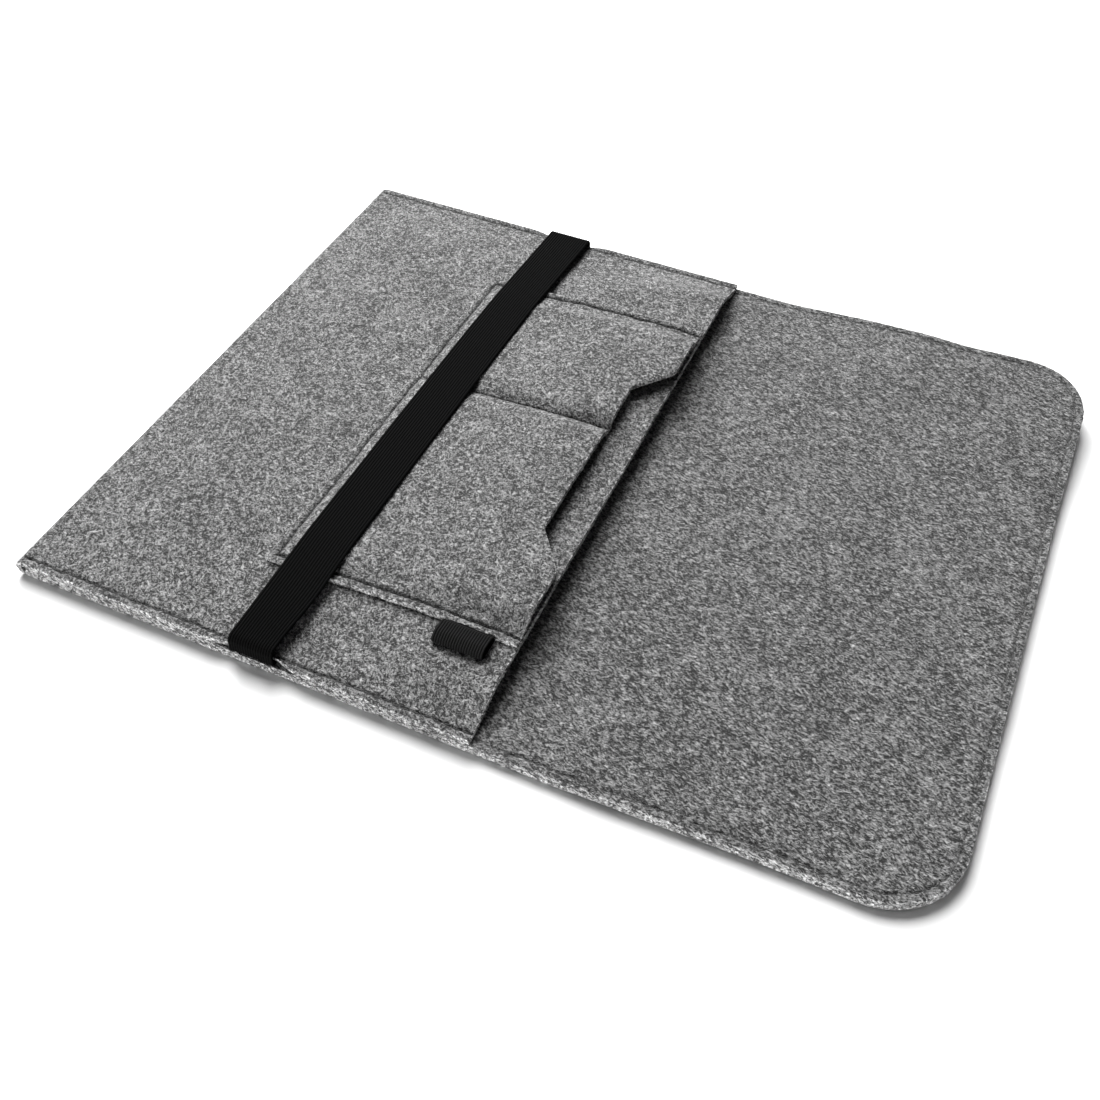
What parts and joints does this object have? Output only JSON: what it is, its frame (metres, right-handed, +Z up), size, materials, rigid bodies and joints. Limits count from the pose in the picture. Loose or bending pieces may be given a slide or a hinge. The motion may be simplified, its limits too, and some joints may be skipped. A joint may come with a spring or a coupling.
{
  "type": "laptop sleeve",
  "caption": "Felt laptop sleeve with a wide fold-over flap, an elastic closing strap, a divided accessory pocket and a pen loop.",
  "frame": {"origin": "middle of the opened sleeve's footprint, on the surface that it lies on", "axes": "+X across the sleeve towards the side with the pen loop, +Y from the bottom fold past the mouth to the end of the open flap, +Z up"},
  "size_m": [0.3534, 0.44, 0.0263],
  "materials": {
    "felt_outer": "matte melange felt",
    "felt_lining": "matte melange felt",
    "elastic": "ribbed woven elastic",
    "grey_thread": "polyester thread",
    "black_thread": "polyester thread"
  },
  "bodies": {
    "sleeve": {"back_outer_felt": "felt_outer", "back_lining": "felt_lining", "bottom_fold": "felt_outer", "front_panel": "felt_outer", "pocket_panel": "felt_outer", "strap_end_left": "elastic", "strap_end_right": "elastic", "pen_loop": "elastic", "side_thread_left": "grey_thread", "side_thread_right": "grey_thread", "pocket_thread": "black_thread", "divider_thread": "black_thread"},
    "spine": {"spine_outer_felt": "felt_outer", "spine_lining": "felt_lining", "spine_thread": "grey_thread"},
    "flap": {"flap_outer_felt": "felt_outer", "flap_lining": "felt_lining", "flap_thread": "grey_thread"},
    "strap_sides": {"strap_side_left": "elastic", "strap_side_right": "elastic"},
    "strap_centre": {"strap_middle": "elastic"}
  },
  "joints": [
    {"name": "spine_fold", "type": "hinge", "parent": "sleeve", "child": "spine", "pos_m": [0, 0.0203, 0.006], "axis": [1, 0, 0], "range_deg": [0, 90]},
    {"name": "flap_fold", "type": "hinge", "parent": "spine", "child": "flap", "pos_m": [0, 0.0414, 0.006], "axis": [1, 0, 0], "range_deg": [0, 90]},
    {"name": "strap_lift", "type": "slide", "parent": "sleeve", "child": "strap_sides", "axis": [0, 0, 1], "range_m": [0, 0.0248], "stiffness_N_per_m": 40, "deforming": ["strap_side_left", "strap_side_right"]},
    {"name": "strap_settle", "type": "slide", "parent": "strap_sides", "child": "strap_centre", "axis": [0, 0, -1], "range_m": [0, 0.0084], "deforming": ["strap_middle"]}
  ],
  "couplings": [
    {"joint": "flap_fold", "follows": "spine_fold", "ratio": 1},
    {"joint": "strap_settle", "follows": "strap_lift", "ratio": 0.3387}
  ]
}
